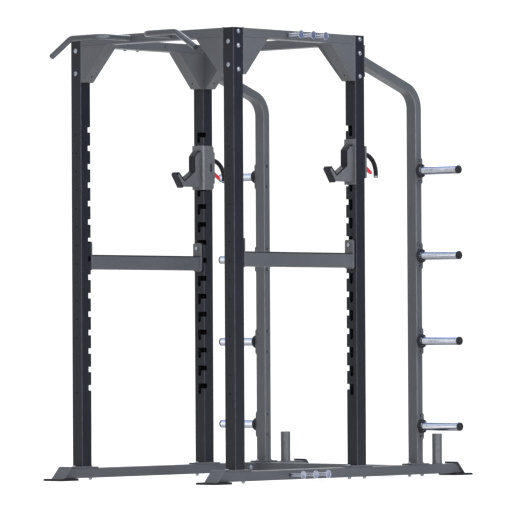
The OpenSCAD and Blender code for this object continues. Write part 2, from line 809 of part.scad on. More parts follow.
module latch_pin() {
    head_y = latch_head_y;
    translate([0, 0, latch_z]) {
        translate([0, (latch_tip + 2 + housing_out + 1) / 2, 0])
            rod_y(latch_d, housing_out + 1 - latch_tip - 2);
        translate([0, latch_tip + 2 + eps, 0]) rotate([90, 0, 0])
            cylinder(d1 = latch_d, d2 = latch_d - 3, h = 2);
        translate([0, (housing_out + head_y) / 2, 0]) rod_y(6, head_y - housing_out);
        translate([0, head_y + 2, 0]) rod_y(12, 4);
    }
}

module hook_bracket_left() { color("#6b6e73") hook_place(-1) hook_bracket(); }
module hook_arm_left() { color("#6b6e73") hook_place(-1) hook_arm(); }
module hook_liner_left() { color("#14161f") hook_place(-1) hook_liner(); }
module hook_studs_left() { color("#b9bcc2") hook_place(-1) hook_studs(); }
module hook_handle_left() { color("#101215") hook_place(-1) hook_handle(); }
module trigger_left() { color("#c8202f") hook_place(-1) trigger(); }
module trigger_pin_left() { color("#b9bcc2") hook_place(-1) trigger_pin(); }
module trigger_spring_left() { color("#8d9096") hook_place(-1) trigger_spring(); }
module latch_pin_left() { color("#b9bcc2") hook_place(-1) latch_pin(); }
module hook_bracket_right() { color("#6b6e73") hook_place(1) hook_bracket(); }
module hook_arm_right() { color("#6b6e73") hook_place(1) hook_arm(); }
module hook_liner_right() { color("#14161f") hook_place(1) hook_liner(); }
module hook_studs_right() { color("#b9bcc2") hook_place(1) hook_studs(); }
module hook_handle_right() { color("#101215") translate([post_x, rear_y, hook_z]) hook_handle(); }
module trigger_right() { color("#c8202f") hook_place(1) trigger(); }
module trigger_pin_right() { color("#b9bcc2") hook_place(1) trigger_pin(); }
module trigger_spring_right() { color("#8d9096") hook_place(1) trigger_spring(); }
module latch_pin_right() { color("#b9bcc2") hook_place(1) latch_pin(); }

// ---------- safety bars, drawn about the middle of a cage side ----------

module safety_place(side) { translate([side * post_x, cage_y, safety_z]) children(); }

// Repeats its child at the front and rear ends; y = 0 is the upright's face, +Y into the cage
module both_ends() {
    for (s = [0, 1]) mirror([0, s, 0]) translate([0, -cage_d / 2 + half, 0]) children();
}

module safety_bar() {
    translate([0, 0, -safety_drop]) tube_y(2 * safety_end, safety_w, safety_h);
}

module safety_strip() {
    top = -safety_drop + safety_h / 2;
    translate([0, 0, top + strip_t / 2]) rotate([90, 0, 0])
        linear_extrude(2 * safety_end - 1, center = true) round_rect(safety_w, strip_t, 2);
}

module safety_plates() {
    both_ends() translate([0, safety_stand, 0]) rotate([90, 0, 0]) difference() {
        linear_extrude(safety_plate_t) round_rect(safety_plate_w, safety_plate_h, 10);
        for (s = [-1, 1]) translate([0, s * slot_pitch / 2, -1]) cylinder(d = 12.5, h = safety_plate_t + 2);
    }
}

module safety_pads() {
    both_ends() translate([0, safety_stand - safety_plate_t, 0]) rotate([90, 0, 0]) difference() {
        linear_extrude(safety_pad_t) round_rect(safety_plate_w, safety_plate_h, 10);
        for (s = [-1, 1]) translate([0, s * slot_pitch / 2, -1]) cylinder(d = stud_d + 0.4, h = 12);
    }
}

module safety_studs() {
    depth = safety_stand - safety_plate_t + stud_reach;
    both_ends() for (s = [-1, 1]) translate([0, safety_stand - safety_plate_t, s * slot_pitch / 2])
        rotate([90, 0, 0]) {
            cylinder(d = stud_d, h = depth - 3);
            translate([0, 0, depth - 3 - eps]) cylinder(d1 = stud_d, d2 = stud_d - 6, h = 3);
            translate([0, 0, -safety_plate_t + (s > 0 ? 0 : 1)]) cylinder(d = 12, h = safety_plate_t + eps);
            if (s > 0) translate([0, 0, -safety_plate_t - 7]) cylinder(d = 22, h = 7 + eps, $fn = 6);
        }
}

module safety_bar_left() { color("#66696e") safety_place(-1) safety_bar(); }
module safety_strip_left() { color("#1c1e24") safety_place(-1) safety_strip(); }
module safety_plates_left() { color("#6b6e73") safety_place(-1) safety_plates(); }
module safety_pads_left() { color("#101215") safety_place(-1) safety_pads(); }
module safety_studs_left() { color("#b9bcc2") safety_place(-1) safety_studs(); }
module safety_bar_right() { color("#66696e") safety_place(1) safety_bar(); }
module safety_strip_right() { color("#1c1e24") safety_place(1) safety_strip(); }
module safety_plates_right() { color("#6b6e73") safety_place(1) safety_plates(); }
module safety_pads_right() { color("#101215") safety_place(1) safety_pads(); }
module safety_studs_right() { color("#b9bcc2") safety_place(1) safety_studs(); }

// ---------- nodes ----------

upright_front_left();
upright_front_right();
upright_rear_left();
upright_rear_right();
upright_caps();
base_rail_left();
base_rail_right();
rail_end_caps();
foot_plates();
base_plates();
base_crossmember();
base_bolts();
side_beam_left();
side_beam_right();
front_beam();
rear_beam();
side_gussets();
cross_gussets();
frame_bolts();
pullup_handle_left();
pullup_handle_right();
pullup_plugs();
band_pegs();
storage_post_left();
storage_post_right();
storage_plates();
peg_plates();
peg_bolts();
weight_pegs();
peg_collars();
peg_caps();
bar_holders();
hook_bracket_left();
hook_arm_left();
hook_liner_left();
hook_studs_left();
hook_handle_left();
trigger_left();
trigger_pin_left();
trigger_spring_left();
latch_pin_left();
hook_bracket_right();
hook_arm_right();
hook_liner_right();
hook_studs_right();
hook_handle_right();
trigger_right();
trigger_pin_right();
trigger_spring_right();
latch_pin_right();
safety_bar_left();
safety_strip_left();
safety_plates_left();
safety_pads_left();
safety_studs_left();
safety_bar_right();
safety_strip_right();
safety_plates_right();
safety_pads_right();
safety_studs_right();
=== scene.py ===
import json
import math

import bmesh
import bpy
from mathutils import Matrix, Vector


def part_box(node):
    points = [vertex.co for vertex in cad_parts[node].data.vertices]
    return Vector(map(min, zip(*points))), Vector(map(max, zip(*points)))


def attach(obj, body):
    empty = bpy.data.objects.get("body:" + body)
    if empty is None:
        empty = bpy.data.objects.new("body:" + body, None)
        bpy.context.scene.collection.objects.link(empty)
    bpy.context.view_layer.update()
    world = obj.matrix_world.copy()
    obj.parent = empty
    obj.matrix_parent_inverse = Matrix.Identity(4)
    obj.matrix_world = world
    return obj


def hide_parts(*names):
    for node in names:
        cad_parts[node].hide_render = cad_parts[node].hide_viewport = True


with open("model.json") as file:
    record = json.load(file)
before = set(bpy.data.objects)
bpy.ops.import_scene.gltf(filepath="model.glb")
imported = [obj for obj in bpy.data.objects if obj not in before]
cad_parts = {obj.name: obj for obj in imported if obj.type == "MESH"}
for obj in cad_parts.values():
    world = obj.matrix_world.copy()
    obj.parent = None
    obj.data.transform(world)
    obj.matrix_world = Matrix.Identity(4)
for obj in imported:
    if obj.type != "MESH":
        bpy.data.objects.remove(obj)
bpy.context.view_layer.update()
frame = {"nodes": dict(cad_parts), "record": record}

MM = 0.001
SIDES = {"left": -1, "right": 1}
MERGE = 2e-6  # points of a CAD mesh this close are one point

# ---------------------------------------------------------------- places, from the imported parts

post_lo, post_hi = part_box("upright_front_right")
rear_lo, rear_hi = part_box("upright_rear_right")
STORE_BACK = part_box("storage_post_right")[1].y
POST_X = (post_lo.x + post_hi.x) / 2
HALF = (post_hi.x - post_lo.x) / 2
FRONT_Y = (post_lo.y + post_hi.y) / 2
REAR_Y = (rear_lo.y + rear_hi.y) / 2
CAGE_Y = (FRONT_Y + REAR_Y) / 2
POST_FOOT = post_lo.z
TOP = post_hi.z
BEAM_DEPTH = 50.8 * MM
END_PLATE = 6 * MM
STORE_WIDTH, STORE_DEPTH = 70 * MM, 50 * MM
GRIP_TUBE_R = 16 * MM


# ---------------------------------------------------------------- finishes

class Finish:
    """A procedural material: each method adds nodes and returns the socket that carries the result."""

    def __init__(self, name, metallic=0.0, coat=0.0, specular=0.5):
        self.material = bpy.data.materials.new(name)
        self.material.use_nodes = True
        self.tree = self.material.node_tree
        self.tree.nodes.clear()
        out = self.add("ShaderNodeOutputMaterial")
        self.shader = self.add("ShaderNodeBsdfPrincipled")
        self.shader.inputs["Metallic"].default_value = metallic
        self.shader.inputs["Coat Weight"].default_value = coat
        self.shader.inputs["Specular IOR Level"].default_value = specular
        self.link(self.shader.outputs["BSDF"], out.inputs["Surface"])
        self.place = self.add("ShaderNodeTexCoord").outputs["Object"]

    def add(self, kind, **settings):
        node = self.tree.nodes.new(kind)
        for key, value in settings.items():
            setattr(node, key, value)
        return node

    def link(self, a, b):
        self.tree.links.new(a, b)

    def product(self, a, b, operation="MULTIPLY"):
        node = self.add("ShaderNodeMath", operation=operation)
        self.link(a, node.inputs[0])
        self.link(b, node.inputs[1])
        return node.outputs["Value"]

    def stretched(self, scale):
        node = self.add("ShaderNodeMapping")
        node.inputs["Scale"].default_value = scale
        self.link(self.place, node.inputs["Vector"])
        return node.outputs["Vector"]

    def noise(self, scale, detail=2.0, roughness=0.5, where=None):
        node = self.add("ShaderNodeTexNoise")
        node.inputs["Scale"].default_value = scale
        node.inputs["Detail"].default_value = detail
        node.inputs["Roughness"].default_value = roughness
        self.link(where or self.place, node.inputs["Vector"])
        return node.outputs["Fac"]

    def cells(self, scale):
        node = self.add("ShaderNodeTexVoronoi")
        node.inputs["Scale"].default_value = scale
        self.link(self.place, node.inputs["Vector"])
        return node.outputs["Distance"]

    def ramp(self, amount, stops):
        node = self.add("ShaderNodeValToRGB")
        while len(node.color_ramp.elements) < len(stops):
            node.color_ramp.elements.new(0.5)
        for element, (position, colour) in zip(node.color_ramp.elements, stops):
            element.position = position
            element.color = (*colour, 1)
        self.link(amount, node.inputs["Fac"])
        return node.outputs["Color"]

    def scaled(self, amount, low, high, from_low=0.0, from_high=1.0):
        node = self.add("ShaderNodeMapRange")
        node.inputs["From Min"].default_value = from_low
        node.inputs["From Max"].default_value = from_high
        node.inputs["To Min"].default_value = low
        node.inputs["To Max"].default_value = high
        self.link(amount, node.inputs["Value"])
        return node.outputs["Result"]

    def blend(self, amount, a, b, how="MIX"):
        node = self.add("ShaderNodeMix", data_type="RGBA", blend_type=how)
        for value, key in ((amount, 0), (a, 6), (b, 7)):
            if isinstance(value, bpy.types.NodeSocket):
                self.link(value, node.inputs[key])
            else:
                node.inputs[key].default_value = value if key == 0 else (*value, 1)
        return node.outputs[2]

    def edges(self, radius):
        """1 along sharp edges, 0 on flat faces. The range is the cosine between bevelled and true normals."""
        soft = self.add("ShaderNodeBevel", samples=4)
        soft.inputs["Radius"].default_value = radius
        flat = self.add("ShaderNodeNewGeometry")
        dot = self.add("ShaderNodeVectorMath", operation="DOT_PRODUCT")
        self.link(soft.outputs["Normal"], dot.inputs[0])
        self.link(flat.outputs["Normal"], dot.inputs[1])
        return self.scaled(dot.outputs["Value"], low=1.0, high=0.0, from_low=0.80, from_high=0.995)

    def corner_highlight_mask(self):
        """1 on the rounded corners of a standing tube, 0 on its flats; it masks a painted highlight down
        those corners.
        """
        coords = self.add("ShaderNodeTexCoord")
        parts = self.add("ShaderNodeSeparateXYZ")
        self.link(coords.outputs["Normal"], parts.inputs["Vector"])
        size = self.add("ShaderNodeMath", operation="ABSOLUTE")
        self.link(self.product(parts.outputs["X"], parts.outputs["Y"]), size.inputs[0])
        return self.scaled(size.outputs["Value"], low=0.0, high=1.0, from_low=0.08, from_high=0.42)

    def bump(self, height, strength, distance, below=None):
        node = self.add("ShaderNodeBump")
        node.inputs["Strength"].default_value = strength
        node.inputs["Distance"].default_value = distance
        self.link(height, node.inputs["Height"])
        if below:
            self.link(below, node.inputs["Normal"])
        return node.outputs["Normal"]

    def done(self, colour, roughness, normal=None):
        self.link(colour, self.shader.inputs["Base Color"])
        self.link(roughness, self.shader.inputs["Roughness"])
        if normal:
            self.link(normal, self.shader.inputs["Normal"])
        return self.material


WHITE = (1, 1, 1)
# noise scales: about how many features there are along a metre
CLOUDS, FLECKS, EDGE_RUBS_AND_HIGHLIGHTS, DUST, PEEL, PAINT_GRAIN = 2.3, 2600, 38, 9, 520, 1900
FLOW_MARKS, HANDLING = 14, 60
SPANGLE, PLATE_TONE, DRAWN_LINES = 180, 22, 900
CHROME_CLOUDS, CHROME_LINES, SMEARS = 9, 240, 24


def powder_coat(name, dark, light, edge, roughness=(0.34, 0.52), sparkle=0.0, gloss=0.30):
    """Sprayed and baked paint: faint clouds, orange peel, metal fleck, and paler edges that are partly wear
    and partly a painted highlight, with a painted highlight down the rounded corners of standing tubes.
    """
    f = Finish(name, specular=gloss)
    clouds = f.ramp(f.noise(CLOUDS, 4, 0.6), [(0.30, dark), (0.72, light)])
    fleck = f.ramp(f.noise(FLECKS, 1, 0.5), [(0.60, (0, 0, 0)), (0.72, WHITE)])
    speckled = f.blend(f.scaled(fleck, 0.0, sparkle), clouds, edge)
    # painted highlight: sharp edges, which also stand for edge wear, and the rounded corners of standing
    # tubes are lightened towards the edge colour
    edge_wear_and_highlight_mask = f.product(f.edges(2.4 * MM), f.corner_highlight_mask(), "MAXIMUM")
    wear = f.product(edge_wear_and_highlight_mask, f.scaled(f.noise(EDGE_RUBS_AND_HIGHLIGHTS, 5, 0.75), 0.25, 0.95, 0.30, 0.70))
    colour = f.blend(wear, speckled, edge)
    dusty = f.scaled(f.noise(DUST, 6, 0.7), *roughness, 0.25, 0.75)
    peel = f.bump(f.noise(PEEL, 2, 0.45), 0.20, 0.25 * MM)
    grain = f.bump(f.noise(PAINT_GRAIN, 1), 0.10, 0.08 * MM, peel)
    return f.done(colour, dusty, grain)


def moulded(name, dark, light, roughness=(0.42, 0.62), grain=1500, strength=0.25, coat=0.0):
    """Moulded plastic or rubber: a fine grain, faint flow marks, and paler edges that are partly rubbed and
    partly a painted highlight.
    """
    f = Finish(name, specular=0.20, coat=coat)
    flow = f.ramp(f.noise(FLOW_MARKS, 3, 0.55), [(0.30, dark), (0.75, light)])
    # paler edges: partly rubbed edges and partly a painted highlight, lightened towards a paler copy of the
    # light colour
    pale = tuple(min(1, c * 2.2 + 0.012) for c in light)
    colour = f.blend(f.scaled(f.edges(1.6 * MM), 0.0, 0.55), flow, pale)
    rough = f.scaled(f.noise(HANDLING, 5, 0.65), *roughness, 0.25, 0.75)
    return f.done(colour, rough, f.bump(f.noise(grain, 2, 0.6), strength, 0.12 * MM))


def plated(name, dark, light, roughness=(0.20, 0.38), stretch=(1, 1, 1)):
    """Plated steel: drawn or turned lines, faint spangle and uneven gloss."""
    f = Finish(name, metallic=1.0)
    tone = f.ramp(f.noise(PLATE_TONE, 4, 0.6), [(0.28, dark), (0.74, light)])
    crystal = f.ramp(f.cells(SPANGLE), [(0.0, (0.86, 0.86, 0.86)), (0.8, WHITE)])
    colour = f.blend(1.0, tone, crystal, "MULTIPLY")
    lines = f.noise(DRAWN_LINES, 3, 0.7, f.stretched(stretch))
    rough = f.scaled(lines, *roughness, 0.25, 0.75)
    return f.done(colour, rough, f.bump(lines, 0.10, 0.05 * MM))


def polished_chrome(name):
    """Chrome with a painted reflection and painted shade: bluish on top, white at the sides, grey to dark
    underneath, and fine lines where plates have slid.
    """
    f = Finish(name, metallic=1.0)
    facing = f.add("ShaderNodeNewGeometry")
    upward = f.add("ShaderNodeSeparateXYZ")
    f.link(facing.outputs["Normal"], upward.inputs["Vector"])
    # painted reflection and shade: the colour follows which way the surface faces, dark blue on top, bluish
    # above the sides, white at the sides, grey to dark underneath
    painted_reflection = f.ramp(f.scaled(upward.outputs["Z"], 0.0, 1.0, -1.0, 1.0),
                  [(0.06, (0.17, 0.18, 0.20)), (0.36, (0.42, 0.44, 0.48)), (0.52, (0.90, 0.93, 0.95)),
                   (0.70, (0.60, 0.66, 0.84)), (0.92, (0.24, 0.30, 0.46))])
    cloud = f.ramp(f.noise(CHROME_CLOUDS, 4, 0.6), [(0.30, (0.84, 0.85, 0.88)), (0.70, WHITE)])
    tone = f.blend(1.0, painted_reflection, cloud, "MULTIPLY")
    lines = f.noise(CHROME_LINES, 4, 0.75, f.stretched((0.04, 1, 1)))
    smears = f.noise(SMEARS, 5, 0.65)
    haze = f.product(f.scaled(lines, 0.7, 1.3, 0.3, 0.7), f.scaled(smears, 0.10, 0.20, 0.3, 0.7))
    return f.done(tone, haze, f.bump(lines, 0.02, 0.03 * MM))


# the third colour of each powder coat is its paler edge colour, used for metal fleck and for edges that are
# partly wear and partly a painted highlight
PEWTER = powder_coat("pewter powder coat", (0.050, 0.054, 0.061), (0.066, 0.071, 0.079),
                     (0.17, 0.18, 0.19), sparkle=0.22)
BRACKET = powder_coat("pewter bracket coat", (0.052, 0.055, 0.062), (0.072, 0.076, 0.083),
                      (0.19, 0.20, 0.21), (0.30, 0.48), 0.25)
HOOK_PAINT = powder_coat("pewter hook coat", (0.064, 0.067, 0.073), (0.090, 0.094, 0.101),
                         (0.21, 0.22, 0.23), (0.30, 0.48), 0.25)
CHARCOAL = powder_coat("charcoal powder coat", (0.0040, 0.0046, 0.0078), (0.0072, 0.0082, 0.0130),
                       (0.055, 0.060, 0.080), (0.26, 0.42), 0.12, 0.22)
GRIP_PAINT = powder_coat("smooth dark coat", (0.026, 0.029, 0.036), (0.040, 0.044, 0.052),
                         (0.12, 0.13, 0.15), (0.22, 0.36), 0.12, 0.45)
FOOT_PAINT = powder_coat("black foot coat", (0.006, 0.006, 0.008), (0.012, 0.012, 0.014),
                         (0.05, 0.05, 0.055), (0.40, 0.60), 0.10, 0.15)
BLACK_PLASTIC = moulded("black moulding", (0.006, 0.006, 0.007), (0.013, 0.013, 0.015))
LINER = moulded("navy black liner", (0.0028, 0.0030, 0.0060), (0.0060, 0.0066, 0.0120),
                (0.30, 0.46), 900, 0.18)
STRIP = moulded("wear strip plastic", (0.010, 0.011, 0.014), (0.020, 0.021, 0.026),
                (0.36, 0.55), 700, 0.3)
RUBBER = moulded("collar rubber", (0.006, 0.007, 0.010), (0.014, 0.016, 0.022),
                 (0.50, 0.72), 1100, 0.35)
GRIP_RUBBER = moulded("grip sleeve", (0.005, 0.005, 0.006), (0.011, 0.011, 0.013),
                      (0.48, 0.70), 1300, 0.4)
TRIGGER_RED = moulded("trigger red", (0.42, 0.010, 0.022), (0.60, 0.020, 0.035),
                      (0.22, 0.38), 1200, 0.12, 0.3)
ZINC = plated("bright zinc", (0.24, 0.26, 0.31), (0.42, 0.44, 0.49))
DARK_ZINC = plated("dull zinc", (0.10, 0.11, 0.13), (0.18, 0.19, 0.22), (0.30, 0.50))
BLUE_ZINC = plated("blue zinc", (0.27, 0.29, 0.35), (0.44, 0.46, 0.53), (0.14, 0.26), (3, 1, 1))
DRAWN_WIRE = plated("drawn wire", (0.28, 0.29, 0.31), (0.42, 0.43, 0.46), (0.22, 0.36), (1, 6, 6))
CHROME = polished_chrome("peg chrome")
WELD = powder_coat("painted weld", (0.046, 0.050, 0.056), (0.064, 0.068, 0.076),
                   (0.15, 0.16, 0.17), (0.30, 0.5), 0.2)


# ---------------------------------------------------------------- mesh helpers

FLAT_ANGLE = math.radians(0.4)   # faces closer to level than this are one face
EASED_ANGLE = math.radians(42)   # CAD edges sharper than this are eased
CREASE_ANGLE = math.radians(38)  # edges of turned parts sharper than this stay crisp

def show(name, mesh):
    ob = bpy.data.objects.new(name, mesh)
    bpy.context.scene.collection.objects.link(ob)
    return ob


def settle(ob, name, body, slot, material, *nodes):
    """Turns a built object into one plain mesh that rides on its body and stands for its CAD nodes."""
    bpy.context.view_layer.update()
    mesh = bpy.data.meshes.new_from_object(ob.evaluated_get(bpy.context.evaluated_depsgraph_get()))
    bpy.data.objects.remove(ob)
    mesh.materials.clear()
    mesh.materials.append(material)
    piece = show(name, mesh)
    if nodes:
        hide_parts(*nodes)
    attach(piece, body)
    return piece


def repaint(node, material):
    mesh = frame["nodes"][node].data
    mesh.materials.clear()
    mesh.materials.append(material)


def eased(node, name, width, material, body="frame", segments=2):
    """A merged copy of a CAD node with its edges eased, as cut and painted steel has."""
    slot = next(s["material_slot"] for s in frame["record"]["subparts"] if s["node"] == node)
    mesh = frame["nodes"][node].data.copy()
    bm = bmesh.new()
    bm.from_mesh(mesh)
    bmesh.ops.remove_doubles(bm, verts=bm.verts, dist=MERGE)
    bmesh.ops.dissolve_limit(bm, angle_limit=FLAT_ANGLE, verts=bm.verts, edges=bm.edges)
    for face in bm.faces:
        face.smooth = True
    bm.to_mesh(mesh)
    bm.free()
    ob = show(name + "_build", mesh)
    bevel = ob.modifiers.new("eased edges", "BEVEL")
    bevel.limit_method = "ANGLE"
    bevel.angle_limit = EASED_ANGLE
    bevel.width = width
    bevel.segments = segments
    bevel.use_clamp_overlap = True
    flat = ob.modifiers.new("flat faces", "WEIGHTED_NORMAL")
    flat.keep_sharp = True
    return settle(ob, name, body, slot, material, node)


ROUND, HEX = 0, 6


def lathe(name, profile, steps=40, looped=False):
    """A turned shape about Z. Each profile point is (radius, height, ROUND or HEX)."""
    bm = bmesh.new()
    rings = []
    for radius, height, corners in profile:
        if radius == 0:
            rings.append([bm.verts.new((0, 0, height))])
            continue
        ring = []
        for i in range(steps):
            turn = math.tau * i / steps
            reach = radius
            if corners:
                wedge = math.tau / corners
                reach *= math.cos(wedge / 2) / math.cos(turn % wedge - wedge / 2)
            ring.append(bm.verts.new((reach * math.cos(turn), reach * math.sin(turn), height)))
        rings.append(ring)
    pairs = list(zip(rings, rings[1:]))
    if looped:
        pairs.append((rings[-1], rings[0]))
    for a, b in pairs:
        for i in range(steps):
            j = (i + 1) % steps
            corners = [a[i % len(a)], a[j % len(a)], b[j % len(b)], b[i % len(b)]]
            bm.faces.new(list(dict.fromkeys(corners)))
    bmesh.ops.recalc_face_normals(bm, faces=bm.faces)
    for face in bm.faces:
        face.smooth = True
    for edge in bm.edges:
        if len(edge.link_faces) == 2 and edge.calc_face_angle() > CREASE_ANGLE:
            edge.smooth = False
    mesh = bpy.data.meshes.new(name)
    bm.to_mesh(mesh)
    bm.free()
    return show(name, mesh)


def polylines(name, lines):
    """An edge mesh of open or closed paths, in metres."""
    verts, edges = [], []
    for points, closed in lines:
        first = len(verts)
        verts += [tuple(p) for p in points]
        edges += [(first + i, first + i + 1) for i in range(len(points) - 1)]
        if closed:
            edges.append((len(verts) - 1, first))
    mesh = bpy.data.meshes.new(name)
    mesh.from_pydata(verts, edges, [])
    return show(name, mesh)


def islands(node):
    """The box of each separate solid in a CAD node, as (low, high) corners, sorted by low corner."""
    bm = bmesh.new()
    bm.from_mesh(frame["nodes"][node].data)
    bmesh.ops.remove_doubles(bm, verts=bm.verts, dist=MERGE)
    unseen, found = set(bm.verts), []
    while unseen:
        start = unseen.pop()
        stack, group = [start], [start]
        while stack:
            for edge in stack.pop().link_edges:
                for vert in edge.verts:
                    if vert in unseen:
                        unseen.discard(vert)
                        stack.append(vert)
                        group.append(vert)
        low = Vector(min(v.co[k] for v in group) for k in range(3))
        high = Vector(max(v.co[k] for v in group) for k in range(3))
        found.append((low, high))
    bm.free()
    return sorted(found, key=lambda box: tuple(round(c, 4) for c in box[0]))


def side_spots(node, outer):
    """The middle of each solid's outer or inner end along X, as (place, aim), with the aim outwards."""
    spots = []
    for low, high in islands(node):
        middle = (low + high) / 2
        side = math.copysign(1, middle.x)
        x = high.x if (side > 0) == outer else low.x
        spots.append((Vector((x, middle.y, middle.z)), Vector((side, 0, 0))))
    return spots


# ---------------------------------------------------------------- geometry node trees

def new_tree(name, inputs):
    tree = bpy.data.node_groups.new(name, "GeometryNodeTree")
    tree.interface.new_socket("Geometry", in_out="INPUT", socket_type="NodeSocketGeometry")
    for label, kind in inputs:
        tree.interface.new_socket(label, in_out="INPUT", socket_type=kind)
    tree.interface.new_socket("Geometry", in_out="OUTPUT", socket_type="NodeSocketGeometry")
    return tree, tree.nodes.new("NodeGroupInput"), tree.nodes.new("NodeGroupOutput")


DROP_SIZES = (0.85, 1.2)  # a weld drop's size varies between these
TURN_SEED = 3


def finish_tree(tree, given, made, out):
    """Realize Instances and Set Material, then the output."""
    real = tree.nodes.new("GeometryNodeRealizeInstances")
    paint = tree.nodes.new("GeometryNodeSetMaterial")
    tree.links.new(made, real.inputs["Geometry"])
    tree.links.new(real.outputs["Geometry"], paint.inputs["Geometry"])
    tree.links.new(given.outputs["Finish"], paint.inputs["Material"])
    tree.links.new(paint.outputs["Geometry"], out.inputs["Geometry"])
    return tree


def stepped_path(tree, given):
    """The given edges as curves with a point every Step."""
    path = tree.nodes.new("GeometryNodeMeshToCurve")
    even = tree.nodes.new("GeometryNodeResampleCurve")
    even.mode = "LENGTH"
    tree.links.new(given.outputs["Geometry"], path.inputs["Mesh"])
    tree.links.new(path.outputs["Curve"], even.inputs["Curve"])
    tree.links.new(given.outputs["Step"], even.inputs["Length"])
    return even.outputs["Curve"]


def fixings_tree():
    """One copy of Part at each point, its Z along the point's aim, turned by a fixed random angle."""
    tree, given, out = new_tree("fixings", [("Part", "NodeSocketObject"), ("Spin", "NodeSocketFloat"),
                                            ("Seed", "NodeSocketInt"), ("Finish", "NodeSocketMaterial")])
    add, link = tree.nodes.new, tree.links.new
    part = add("GeometryNodeObjectInfo")
    aim = add("GeometryNodeInputNamedAttribute")
    aim.data_type = "FLOAT_VECTOR"
    aim.inputs["Name"].default_value = "aim"
    align = add("FunctionNodeAlignRotationToVector")
    align.axis = "Z"
    chance = add("FunctionNodeRandomValue")
    chance.data_type = "FLOAT"
    spin = add("FunctionNodeAxisAngleToRotation")
    spin.inputs["Axis"].default_value = (0, 0, 1)
    turn = add("FunctionNodeRotateRotation")
    turn.rotation_space = "LOCAL"
    copies = add("GeometryNodeInstanceOnPoints")
    link(given.outputs["Part"], part.inputs["Object"])
    link(aim.outputs["Attribute"], align.inputs["Vector"])
    link(given.outputs["Spin"], next(s for s in chance.inputs if s.name == "Max" and s.enabled))
    link(given.outputs["Seed"], chance.inputs["Seed"])
    link(next(s for s in chance.outputs if s.enabled), spin.inputs["Angle"])
    link(align.outputs["Rotation"], turn.inputs["Rotation"])
    link(spin.outputs["Rotation"], turn.inputs["Rotate By"])
    link(given.outputs["Geometry"], copies.inputs["Points"])
    link(part.outputs["Geometry"], copies.inputs["Instance"])
    link(turn.outputs["Rotation"], copies.inputs["Rotation"])
    return finish_tree(tree, given, copies.outputs["Instances"], out)


def weld_tree():
    """Lays overlapping drops of weld along each path."""
    tree, given, out = new_tree("weld bead", [("Drop", "NodeSocketFloat"), ("Step", "NodeSocketFloat"),
                                              ("Seed", "NodeSocketInt"), ("Finish", "NodeSocketMaterial")])
    add, link = tree.nodes.new, tree.links.new
    drop = add("GeometryNodeMeshUVSphere")
    drop.inputs["Segments"].default_value = 8
    drop.inputs["Rings"].default_value = 5
    size = add("FunctionNodeRandomValue")
    size.data_type = "FLOAT_VECTOR"
    low, high = [s for s in size.inputs if s.name in ("Min", "Max") and s.enabled]
    low.default_value = (DROP_SIZES[0],) * 3
    high.default_value = (DROP_SIZES[1],) * 3
    copies = add("GeometryNodeInstanceOnPoints")
    smooth = add("GeometryNodeSetShadeSmooth")
    link(given.outputs["Drop"], drop.inputs["Radius"])
    link(given.outputs["Seed"], size.inputs["Seed"])
    link(stepped_path(tree, given), copies.inputs["Points"])
    link(drop.outputs["Mesh"], smooth.inputs["Geometry"])
    link(smooth.outputs["Geometry"], copies.inputs["Instance"])
    link(next(s for s in size.outputs if s.enabled), copies.inputs["Scale"])
    return finish_tree(tree, given, copies.outputs["Instances"], out)


def rod_tree():
    """A round bar along each path."""
    tree, given, out = new_tree("round bar", [("Radius", "NodeSocketFloat"),
                                              ("Finish", "NodeSocketMaterial")])
    add, link = tree.nodes.new, tree.links.new
    path = add("GeometryNodeMeshToCurve")
    ring = add("GeometryNodeCurvePrimitiveCircle")
    ring.inputs["Resolution"].default_value = 20
    sweep = add("GeometryNodeCurveToMesh")
    sweep.inputs["Fill Caps"].default_value = True
    smooth = add("GeometryNodeSetShadeSmooth")
    link(given.outputs["Geometry"], path.inputs["Mesh"])
    link(path.outputs["Curve"], sweep.inputs["Curve"])
    link(given.outputs["Radius"], ring.inputs["Radius"])
    link(ring.outputs["Curve"], sweep.inputs["Profile Curve"])
    link(sweep.outputs["Mesh"], smooth.inputs["Geometry"])
    return finish_tree(tree, given, smooth.outputs["Geometry"], out)


def ribs_tree():
    """Rings of Part along each path, square to it, a fixed step apart."""
    tree, given, out = new_tree("grip ribs", [("Part", "NodeSocketObject"), ("Step", "NodeSocketFloat"),
                                              ("Finish", "NodeSocketMaterial")])
    add, link = tree.nodes.new, tree.links.new
    part = add("GeometryNodeObjectInfo")
    along = add("GeometryNodeInputTangent")
    align = add("FunctionNodeAlignRotationToVector")
    align.axis = "Z"
    copies = add("GeometryNodeInstanceOnPoints")
    link(given.outputs["Part"], part.inputs["Object"])
    link(along.outputs["Tangent"], align.inputs["Vector"])
    link(stepped_path(tree, given), copies.inputs["Points"])
    link(part.outputs["Geometry"], copies.inputs["Instance"])
    link(align.outputs["Rotation"], copies.inputs["Rotation"])
    return finish_tree(tree, given, copies.outputs["Instances"], out)


def grow(ob, tree, **values):
    """Adds the tree to an object and sets its inputs by name."""
    mod = ob.modifiers.new(tree.name, "NODES")
    mod.node_group = tree
    for item in tree.interface.items_tree:
        if item.item_type == "SOCKET" and item.in_out == "INPUT" and item.name in values:
            mod[item.identifier] = values[item.name]
    return ob


FIXINGS, WELDS, RODS, RIBS = fixings_tree(), weld_tree(), rod_tree(), ribs_tree()


def fixed(name, part, spots, body, slot, material, *nodes, spin=math.tau):
    """A copy of part at each (place, aim), as one mesh. Each is turned by up to spin."""
    mesh = bpy.data.meshes.new(name)
    mesh.from_pydata([tuple(place) for place, aim in spots], [], [])
    aims = mesh.attributes.new("aim", "FLOAT_VECTOR", "POINT")
    aims.data.foreach_set("vector", [c for place, aim in spots for c in aim])
    ob = grow(show(name + "_build", mesh), FIXINGS, Part=part, Spin=spin, Seed=TURN_SEED, Finish=material)
    return settle(ob, name, body, slot, material, *nodes)


